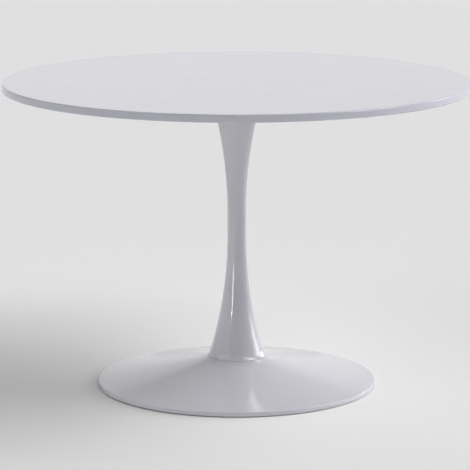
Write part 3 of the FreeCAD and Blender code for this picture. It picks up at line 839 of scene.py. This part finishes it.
paper, tree, place = new_material("white_background_paper")
pulp = add(
    tree, "ShaderNodeTexNoise", None, {"Vector": place}, Scale=per_metre(PAPER_PULP_MM), Detail=3.0
)
share = add(tree, "ShaderNodeMapRange", None, {"Value": pulp["Fac"]}, **NOISE_SPAN)
tone = add(tree, "ShaderNodeMix", {"data_type": "RGBA"}, {
    "Factor": share["Result"], 6: linear(PAPER_WHITE), 7: linear(PAPER_SHADE),
})
shader = add(tree, "ShaderNodeBsdfPrincipled", None, {
    "Base Color": tone[2],
}, Roughness=0.9, Specular_IOR_Level=0.2)
add(tree, "ShaderNodeOutputMaterial", None, {"Surface": shader["BSDF"]})

floor_mesh = bpy.data.meshes.new("floor")
corners = [
    (x * PAPER_HALF_WIDTH, y * PAPER_HALF_WIDTH, 0.0)
    for x, y in ((-1, -1), (1, -1), (1, 1), (-1, 1))
]
floor_mesh.from_pydata(corners, [], [(0, 1, 2, 3)])
floor_mesh.materials.append(paper)
floor = bpy.data.objects.new("floor", floor_mesh)
bpy.context.scene.collection.objects.link(floor)


# ------------------------------------------------------------------ camera
# A long lens a little above the top's height, far enough back that the round pieces keep their
# true proportions.
CAMERA_DISTANCE = 6.311
CAMERA_ELEVATION = math.radians(10.99)
CAMERA_LENS_MM = 203.55
CAMERA_SHIFT = (-0.0037, -0.0045)

low_corner, high_corner = cad_box
middle_height = (low_corner[2] + high_corner[2]) / 2
camera_data = bpy.data.cameras.new("studio_camera")
camera_data.lens = CAMERA_LENS_MM
camera_data.sensor_width = 36.0
camera_data.shift_x, camera_data.shift_y = CAMERA_SHIFT
camera_data.clip_end = 100.0
camera = bpy.data.objects.new("studio_camera", camera_data)
camera.location = (
    0.0,
    -CAMERA_DISTANCE * math.cos(CAMERA_ELEVATION),
    middle_height + CAMERA_DISTANCE * math.sin(CAMERA_ELEVATION),
)
camera.rotation_euler = (math.radians(90.0) - CAMERA_ELEVATION, 0.0, 0.0)
bpy.context.scene.collection.objects.link(camera)
bpy.context.scene.camera = camera
bpy.context.scene.view_settings.view_transform = "Standard"


# ------------------------------------------------------------------ light
# A dim room with large softboxes far off: the strongest stand high and low on the right, two
# fill from the left, and the wall behind glows, with one thin bright slot in it. The top's face
# is bright, and the front lies in soft shade. A strip light close by draws the column's line.
BACK_GLOW = 0.64
SOFT_EDGE_DEG = 2.0
SOFT_EDGE_SHARE = 0.3  # of half the width, where a softbox is narrow
SOFTBOXES = (
    # bearing and half width from +X, lower and upper edge, all in degrees, and strength
    (0.0, 24.0, 38.0, 56.0, 5.6),
    (38.0, 14.0, 40.0, 56.0, 3.2),
    (-38.0, 16.0, 36.0, 58.0, 3.4),
    (30.0, 22.0, 2.0, 26.0, 3.7),
    (8.0, 14.0, 2.0, 22.0, 2.6),
    (208.0, 28.0, 20.0, 48.0, 1.35),
    (194.0, 38.0, -2.0, 18.0, 0.6),
    (88.2, 0.35, 28.0, 44.0, 1.3),
    (78.0, 48.0, -2.0, 22.0, 0.28),
)

world = bpy.data.worlds.new("studio")
world.use_nodes = True
bpy.context.scene.world = world
sky = world.node_tree
sky.nodes.clear()
outward = add(sky, "ShaderNodeTexCoord")["Generated"]
way = add(sky, "ShaderNodeSeparateXYZ", None, {"Vector": outward})
flat = add(sky, "ShaderNodeCombineXYZ", None, {"X": way["X"], "Y": way["Y"]})
bearing = add(sky, "ShaderNodeVectorMath", {"operation": "NORMALIZE"}, {0: flat["Vector"]})["Vector"]
behind = add(sky, "ShaderNodeMath", {"operation": "MAXIMUM"}, {0: way["Y"], 1: 0.0})
total = add(sky, "ShaderNodeMath", {"operation": "MULTIPLY"}, {0: behind["Value"], 1: BACK_GLOW})["Value"]
for middle, half, low, high, strength in SOFTBOXES:
    toward = (math.cos(math.radians(middle)), math.sin(math.radians(middle)), 0.0)
    facing = add(sky, "ShaderNodeVectorMath", {"operation": "DOT_PRODUCT"}, {0: bearing, 1: toward})
    soft = min(SOFT_EDGE_DEG, half * SOFT_EDGE_SHARE)
    share = strength
    for value, measure, dark, lit in (
        (facing["Value"], math.cos, half + soft, half - soft),
        (way["Z"], math.sin, low - SOFT_EDGE_DEG, low + SOFT_EDGE_DEG),
        (way["Z"], math.sin, high + SOFT_EDGE_DEG, high - SOFT_EDGE_DEG),
    ):
        mask = add(
            sky, "ShaderNodeMapRange", {"interpolation_type": "SMOOTHSTEP"}, {"Value": value},
            From_Min=measure(math.radians(dark)), From_Max=measure(math.radians(lit)),
        )
        masked = add(sky, "ShaderNodeMath", {"operation": "MULTIPLY"}, {0: mask["Result"], 1: share})
        share = masked["Value"]
    total = add(sky, "ShaderNodeMath", {"operation": "ADD"}, {0: total, 1: share})["Value"]
glow = add(sky, "ShaderNodeBackground", None, {"Strength": total}, Color=linear("#ffffff"))
add(sky, "ShaderNodeOutputWorld", None, {"Surface": glow["Background"]})

STRIP_BEARING = math.radians(235.0)
STRIP_DISTANCE = 3.5
STRIP_WIDTH = 0.2
STRIP_HEIGHT = 0.7
STRIP_POWER = 12.0
STRIP_OFF_FLOOR = 0.01

strip_data = bpy.data.lights.new("strip_softbox", "AREA")
strip_data.shape = "RECTANGLE"
strip_data.size = STRIP_WIDTH
strip_data.size_y = STRIP_HEIGHT
strip_data.energy = STRIP_POWER
strip = bpy.data.objects.new("strip_softbox", strip_data)
strip.location = (
    STRIP_DISTANCE * math.cos(STRIP_BEARING),
    STRIP_DISTANCE * math.sin(STRIP_BEARING),
    STRIP_HEIGHT / 2 + STRIP_OFF_FLOOR,
)
strip.rotation_euler = (math.radians(90.0), 0.0, STRIP_BEARING + math.radians(90.0))
strip.visible_camera = False
bpy.context.scene.collection.objects.link(strip)

# flagged off the table top and the floor, so its light falls on the column and the shell alone
lit_by_strip = bpy.data.collections.new("lit_by_strip")
lit_by_strip.objects.link(bpy.data.objects["column"])
lit_by_strip.objects.link(bpy.data.objects["base_shell"])
strip.light_linking.receiver_collection = lit_by_strip
